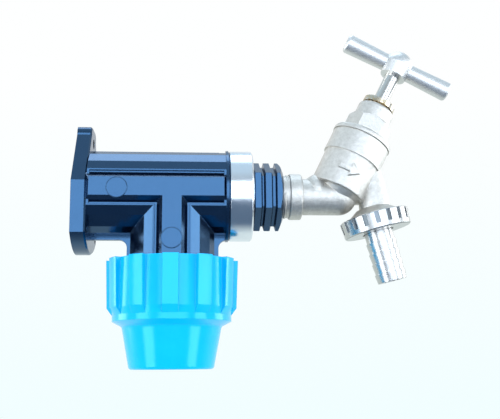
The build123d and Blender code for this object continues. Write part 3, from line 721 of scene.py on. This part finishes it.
@dataclass(frozen=True)
class HoseUnion:
    """Notched union nut with its ribbed tail and washer."""

    body: str = "fitting"
    thread_root_radius_mm: float = 12.6
    thread_depth_mm: float = 0.55
    thread_pitch_mm: float = 1.814
    thread_start_mm: float = -4.7
    thread_end_mm: float = -1.2

    def dress(self) -> None:
        """Finishes the nut, the tail and the washer, and adds the tap's outlet thread."""
        turned = BRIGHT_NICKEL_OUTLET.build()
        give_finish("hose_tail", turned)
        give_finish("union_nut", NOTCHED_NICKEL.build())
        give_finish("outlet_washer", NITRILE_RUBBER.build())
        thread = ScrewThread(
            "outlet_thread", AXLES[Turning.OUTLET], self.thread_root_radius_mm,
            self.thread_depth_mm, self.thread_pitch_mm, self.thread_start_mm, self.thread_end_mm)
        thread.build(self.body, "cast_nickel_brass", turned)


@dataclass(frozen=True)
class SoftBox:
    """Large soft light that faces the object."""

    name: str
    place: tuple[float, float, float]
    width: float
    height: float
    watts: float
    colour: str
    target: tuple[float, float, float] = (0.09, 0.0, -0.005)

    def across(self, name: str) -> "SoftBox":
        """Gives the same light, under another name, on the other side of its target."""
        x, y, z = self.place
        return replace(self, name=name, place=(2 * self.target[0] - x, y, z))

    def build(self) -> None:
        """Makes the light: a rectangle of the stated size turned to its target."""
        lamp = bpy.data.lights.new(self.name, "AREA")
        lamp.shape = "RECTANGLE"
        lamp.size = self.width
        lamp.size_y = self.height
        lamp.energy = self.watts
        lamp.color = linear(self.colour)[:3]
        light = bpy.data.objects.new(self.name, lamp)
        light.location = self.place
        aim = Vector(self.target) - Vector(self.place)
        light.rotation_euler = aim.to_track_quat("-Z", "Y").to_euler()
        light.visible_camera = False
        bpy.context.scene.collection.objects.link(light)
        log.info("light %s", self.name)


SKY_PANEL = SoftBox("sky_panel", place=(0.14, -1.2, 0.1), width=1.2, height=0.9, watts=11.7,
                    colour="#dcebff")
TOP = SoftBox("top", place=(0.12, 0.16, 0.9), width=0.6, height=0.45, watts=2.6, colour="#dcecff")
RIGHT_FRONT = SoftBox("right_front", place=(0.95, -0.58, -0.05), width=0.45, height=1.1, watts=7.7,
                      colour="#eaf4ff")
RIGHT_BACK = SoftBox("right_back", place=(1.0, 0.215, 0.15), width=0.4, height=0.7, watts=4.4,
                     colour="#eaf4ff")


@dataclass(frozen=True)
class Ramp:
    """Stretch of one part of a direction over which the surround changes its colour."""

    start: float
    end: float

    def blend(self, tree: bpy.types.NodeTree, part: bpy.types.NodeSocket, first: Any,
              second: Any) -> bpy.types.NodeSocket:
        """Mixes two colours, the first up to the start of the stretch and the second from its end.

        Args:
            tree: Node tree of the surround.
            part: Part of the direction that the stretch lies on.
            first: Colour, or the socket of one, before the stretch.
            second: Colour, or the socket of one, after it.

        Returns:
            The mixed colour.
        """
        share = add_node(tree, "ShaderNodeMapRange", inputs={
            "Value": part, "From Min": self.start, "From Max": self.end})
        mixed = add_node(tree, "ShaderNodeMix", {"data_type": "RGBA"}, {
            MIX_SHARE: share.outputs["Result"], MIX_FIRST: first, MIX_SECOND: second})
        return mixed.outputs[MIX_RESULT]


@dataclass(frozen=True)
class Studio:
    """Pale floor, soft light and the camera at the photograph's viewing angle."""

    camera_place: tuple[float, float, float] = (0.058, -0.360, -0.0815)
    camera_target: tuple[float, float, float] = (0.0841, 0.0, -0.0064)
    focal_pixels: float = 748.0
    roll_degrees: float = -0.5
    clip_start: float = 0.01
    floor_height: float = -1.0
    floor_middle: float = 0.09
    floor_half: float = 1.6
    floor_points: int = 3
    front_rise: Ramp = Ramp(-0.45, -0.1)
    back_rise: Ramp = Ramp(-0.1, 0.35)
    front_to_back: Ramp = Ramp(-0.1, 0.45)
    to_overhead: Ramp = Ramp(0.5, 0.8)
    front_low_colour: str = "#657b94"
    front_colour: str = "#b2bec8"
    back_low_colour: str = "#f0feff"
    back_colour: str = "#feffff"
    overhead_colour: str = "#d2ecff"

    def floor(self) -> None:
        """Makes the floor: a flat square grid at the floor's height, kept out of the gloss."""
        side = np.linspace(-self.floor_half, self.floor_half, self.floor_points)
        across, deep = np.meshgrid(side, side, indexing="ij")
        level = np.full_like(across, self.floor_height)
        points = np.stack([across + self.floor_middle, deep, level], axis=-1)
        faces = grid_faces(self.floor_points, self.floor_points, False)[:, ::-1]
        mesh = bpy.data.meshes.new("floor")
        mesh.from_pydata(points.reshape(-1, 3).tolist(), [], faces.tolist())
        mesh.materials.append(OPAL_ACRYLIC.build())
        plane = bpy.data.objects.new("floor", mesh)
        plane.visible_glossy = False
        bpy.context.scene.collection.objects.link(plane)

    def sky(self) -> None:
        """Makes the surround: a pale backdrop to the eye, dim in front and below as light."""
        world = bpy.data.worlds.new("studio")
        world.use_nodes = True
        tree = world.node_tree
        tree.nodes.clear()
        look = add_node(tree, "ShaderNodeTexCoord").outputs["Generated"]
        parts = add_node(tree, "ShaderNodeSeparateXYZ", inputs={"Vector": look})
        deep, up = parts.outputs["Y"], parts.outputs["Z"]
        front = self.front_rise.blend(
            tree, up, linear(self.front_low_colour), linear(self.front_colour))
        back = self.back_rise.blend(
            tree, up, linear(self.back_low_colour), linear(self.back_colour))
        around = self.front_to_back.blend(tree, deep, front, back)
        sky = self.to_overhead.blend(tree, up, around, linear(self.overhead_colour))
        light = add_node(tree, "ShaderNodeBackground", inputs={"Color": sky})
        backdrop = add_node(tree, "ShaderNodeBackground", inputs={"Color": back})
        seen = add_node(tree, "ShaderNodeLightPath").outputs["Is Camera Ray"]
        surround = add_node(tree, "ShaderNodeMixShader", inputs={
            0: seen, 1: light.outputs["Background"], 2: backdrop.outputs["Background"]})
        add_node(tree, "ShaderNodeOutputWorld", inputs={"Surface": surround.outputs["Shader"]})
        bpy.context.scene.world = world

    def lights(self) -> None:
        """Places the soft boxes: a panel before the object, a top light and two on each side."""
        for box in (SKY_PANEL, TOP, RIGHT_FRONT, RIGHT_FRONT.across("left_front"),
                    RIGHT_BACK, RIGHT_BACK.across("left_back")):
            box.build()

    def camera(self) -> None:
        """Makes the camera: at its place, facing its target, turned a little about its view."""
        lens = bpy.data.cameras.new("camera")
        lens.sensor_fit = "HORIZONTAL"
        lens.sensor_width = SENSOR_WIDTH_MM
        lens.lens = self.focal_pixels / IMAGE_WIDTH * SENSOR_WIDTH_MM
        lens.clip_start = self.clip_start
        view = bpy.data.objects.new("camera", lens)
        aim = Vector(self.camera_target) - Vector(self.camera_place)
        turn = aim.to_track_quat("-Z", "Y").to_matrix().to_4x4()
        roll = Matrix.Rotation(math.radians(self.roll_degrees), 4, "Z")
        view.matrix_world = Matrix.Translation(self.camera_place) @ turn @ roll
        bpy.context.scene.collection.objects.link(view)
        bpy.context.scene.camera = view

    def build(self) -> None:
        """Builds the floor, the surround, the lights and the camera."""
        self.floor()
        self.sky()
        self.lights()
        self.camera()
        bpy.context.scene.view_settings.view_transform = "Standard"


def main() -> None:
    """Builds the sub-assemblies and the studio in order."""
    logging.basicConfig(level=logging.INFO, format="%(name)s: %(message)s")
    for assembly in (WallFitting(), PipeJoint(), BibTap(), HoseUnion()):
        assembly.dress()
    Studio().build()


if __name__ == "__main__":
    main()
